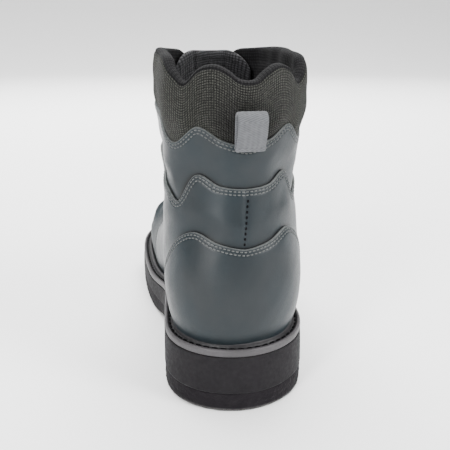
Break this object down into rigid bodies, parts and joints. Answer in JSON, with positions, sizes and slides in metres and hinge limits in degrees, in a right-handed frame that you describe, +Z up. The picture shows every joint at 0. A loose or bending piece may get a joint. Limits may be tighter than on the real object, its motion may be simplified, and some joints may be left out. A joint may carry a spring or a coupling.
{
  "type": "wading boot",
  "caption": "Right lace-up wading boot: felt layer under a thick rubber sole, welt, hollow upper with stacked back panels, padded collar with a rear dip, tongue and webbing pull loop",
  "frame": {"origin": "middle of the boot's footprint box, on the floor it stands on", "axes": "+Z up, toe towards -Y and heel towards +Y, +X is the inner (medial) side of this right boot"},
  "size_m": [0.1162, 0.308, 0.2208],
  "materials": {
    "felt": "dense compressed felt, matt",
    "rubber": "matt moulded rubber",
    "welt": "satin strip with a stitched channel",
    "insole": "matt cloth on foam",
    "leather": "satin, lightly waxed",
    "textile": "matt coarse weave",
    "webbing": "ribbed woven tape",
    "eyelet": "dark lacquered",
    "lace": "round braided cord"
  },
  "bodies": {
    "root": {"outsole": "felt", "midsole": "rubber", "welt": "welt", "insole": "insole", "upper": "leather", "heel_counter": "leather", "quarter": "leather", "ankle_band": "leather", "eyestay_lateral": "leather", "eyestay_medial": "leather", "tongue": "textile", "pull_loop": "webbing", "laces": "lace", "eyelet_lateral_1": "eyelet", "eyelet_lateral_2": "eyelet", "eyelet_lateral_3": "eyelet", "eyelet_lateral_4": "eyelet", "eyelet_lateral_5": "eyelet", "eyelet_lateral_6": "eyelet", "eyelet_medial_1": "eyelet", "eyelet_medial_2": "eyelet", "eyelet_medial_3": "eyelet", "eyelet_medial_4": "eyelet", "eyelet_medial_5": "eyelet", "eyelet_medial_6": "eyelet"}
  },
  "joints": []
}
